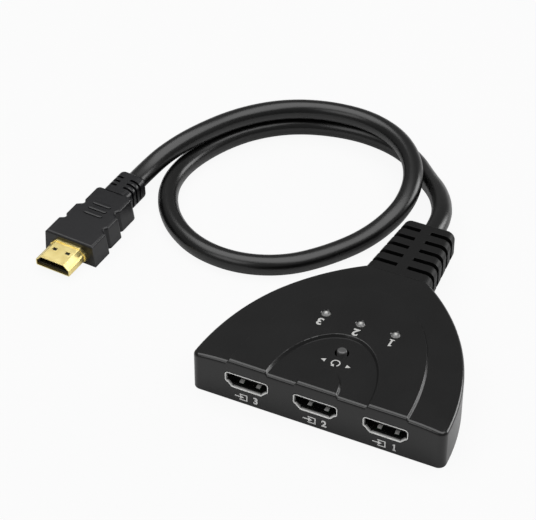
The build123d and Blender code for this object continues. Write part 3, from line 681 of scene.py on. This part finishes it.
def cycleSign(sizes):
    # a ring with a gap, made of two arcs x = r sin a, y = r cos a joined at their ends, with an
    # arrow's head at one end of it and a triangle on each side
    gap = math.radians(sizes["cycleGap"])
    turn = np.linspace(gap / 2, 2 * np.pi - gap / 2, sizes["cycleSteps"])
    circle = np.column_stack([np.sin(turn), np.cos(turn)])
    radius, line = sizes["cycleRadius"], sizes["cycleLine"]
    ring = np.vstack([circle * (radius + line / 2), circle[::-1] * (radius - line / 2)])
    tip, along = circle[0] * radius, np.array([-math.cos(gap / 2), math.sin(gap / 2)])
    halfWidth, length = (share * line for share in sizes["cycleHead"])
    outward = circle[0] * halfWidth
    head = np.array([tip + outward, tip - outward, tip + along * length])
    side = np.array(sizes["cycleSide"])
    return [ring, head, side, side[::-1] * (-1, 1)]


def numeralMesh(name, number, height):
    # the typeface's one has no foot, so that numeral is drawn
    if number == 1:
        return flatMesh(name, [np.array(printing["one"]) * height * printing["digitShare"]])
    return typeMesh(name, str(number), height)


def placeMark(mesh, place, turn, ink):
    mesh.transform(Matrix.Translation(Vector(place) * mm) @ turn)
    mark = newObject(mesh.name, mesh)
    mark.data.materials.clear()
    mark.data.materials.append(ink)
    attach(mark, "housing")


def printMarks(setup):
    low, high = boxOf("upper_housing")
    front, height = low[1] - setup["lift"], setup["legendHeight"]
    bandTop = high[2] + setup["lift"]
    plainTop = bandTop - setup["bandRise"]
    toTheRear = Matrix.Rotation(math.pi, 4, "Z")
    onTheFront = Matrix.Rotation(math.pi / 2, 4, "X")
    for number, (x, y) in setup["lampNumeralPlaces"].items():
        numeral = numeralMesh(f"lampNumeral{number}", number, setup["lampNumeral"])
        placeMark(numeral, (x, y, bandTop), toTheRear, topInk)
        socketLow, socketHigh = boxOf(f"input_socket_shell_{number}")
        middle = (socketLow[0] + socketHigh[0]) / 2
        numeral = numeralMesh(f"socketNumeral{number}", number, setup["socketNumeral"])
        place = (middle + setup["socketNumeralShift"], front, height)
        placeMark(numeral, place, onTheFront, frontInk)
        sign = flatMesh(f"socketSign{number}", [setup["inputArrow"], setup["inputFrame"]])
        place = (middle + setup["socketSignShift"], front, height)
        placeMark(sign, place, onTheFront, frontInk)
    sign = flatMesh("cycleSign", cycleSign(setup))
    placeMark(sign, (*setup["cyclePlace"], plainTop), toTheRear, topInk)


printMarks(printing)
print("printing placed")


# studio

studio = {
    "floorSize": 6.0,  # m
    "floorPoints": 3,  # along each side
    "floorDrop": 0.05,  # mm below the underside, so that the two planes stay apart
    "floorColour": 0.98,  # as the camera sees it
    "floorMatte": 0.6,  # colour that takes the light and the shadows
    "floorShown": 0.94,  # share of the plain floor colour for the camera
    "floorMirrored": 0.1,  # the same share in reflections
    "worldShown": 0.97,  # for the camera
    "worldMirrored": 0.21,  # share of that in reflections
    "worldLight": 0.08,  # for diffuse light
    "aim": (-0.02, 0.02, 0.0),  # m, where the softboxes point
    "softboxes": [  # name, place in m, size in m, watts
        ("overheadSoftbox", (-0.02, 0.08, 1.0), (1.8, 1.0), 16.5),
        ("rearSoftbox", (0.75, 0.85, 0.3), (0.6, 0.55), 5.5),
        ("frontSoftbox", (-0.35, -0.8, 0.75), (0.7, 0.5), 2.2),
    ],
}


def rayShare(tree, shown, mirrored):
    # shown for rays from the camera, also through clear things, mirrored for reflections, else 0
    path = tree.nodes.new("ShaderNodeLightPath")
    seen = tree.nodes.new("ShaderNodeMath")
    seen.operation = "MAXIMUM"
    straight = tree.nodes.new("ShaderNodeMath")
    straight.operation = "MULTIPLY"
    straight.inputs[1].default_value = shown
    total = tree.nodes.new("ShaderNodeMath")
    total.operation = "MULTIPLY_ADD"
    total.inputs[1].default_value = mirrored
    tree.links.new(path.outputs["Is Camera Ray"], seen.inputs[0])
    tree.links.new(path.outputs["Is Transmission Ray"], seen.inputs[1])
    tree.links.new(seen.outputs[0], straight.inputs[0])
    tree.links.new(path.outputs["Is Glossy Ray"], total.inputs[0])
    tree.links.new(straight.outputs[0], total.inputs[2])
    return total.outputs[0]


def makeFloor(setup):
    half, count = setup["floorSize"] / 2, setup["floorPoints"]
    x, y = np.meshgrid(*[np.linspace(-half, half, count)] * 2)
    points = np.stack([x, y, np.full_like(x, -setup["floorDrop"] * mm)], -1)
    mesh = meshFromArrays("floor", points, gridFaces(count, count), smooth=False)
    floor = newObject("floor", mesh)
    material, tree, shader = newMaterial("paleFloor")
    tree.nodes.remove(shader)
    matte = tree.nodes.new("ShaderNodeBsdfDiffuse")
    matte.inputs["Color"].default_value = (*grey(setup["floorMatte"]), 1)
    glow = tree.nodes.new("ShaderNodeEmission")
    glow.inputs["Color"].default_value = (1, 1, 1, 1)
    glow.inputs["Strength"].default_value = setup["floorColour"]
    blend = tree.nodes.new("ShaderNodeMixShader")
    share = rayShare(tree, setup["floorShown"], setup["floorMirrored"])
    tree.links.new(share, blend.inputs["Fac"])
    tree.links.new(matte.outputs["BSDF"], blend.inputs[1])
    tree.links.new(glow.outputs["Emission"], blend.inputs[2])
    tree.links.new(blend.outputs["Shader"], tree.nodes["Material Output"].inputs["Surface"])
    floor.data.materials.append(material)


def makeWorld(setup):
    world = bpy.data.worlds.new("studioWorld")
    bpy.context.scene.world = world
    world.use_nodes = True
    tree = world.node_tree
    background = tree.nodes["Background"]
    level = tree.nodes.new("ShaderNodeMix")
    level.data_type = "FLOAT"
    level.inputs["A"].default_value = setup["worldLight"]
    level.inputs["B"].default_value = setup["worldShown"]
    tree.links.new(rayShare(tree, 1.0, setup["worldMirrored"]), level.inputs["Factor"])
    tree.links.new(level.outputs["Result"], background.inputs["Strength"])
    background.inputs["Color"].default_value = (1, 1, 1, 1)


def makeSoftboxes(setup):
    aim = Vector(setup["aim"])
    for name, place, size, watts in setup["softboxes"]:
        data = bpy.data.lights.new(name, "AREA")
        data.shape = "RECTANGLE"
        data.size, data.size_y = size
        data.energy = watts
        softbox = bpy.data.objects.new(name, data)
        bpy.context.scene.collection.objects.link(softbox)
        softbox.location = place
        softbox.rotation_mode = "QUATERNION"
        softbox.rotation_quaternion = (aim - Vector(place)).to_track_quat("-Z", "Y")


makeFloor(studio)
makeWorld(studio)
makeSoftboxes(studio)
bpy.context.scene.view_settings.view_transform = "Standard"
print("studio lit")

bpy.context.view_layer.update()
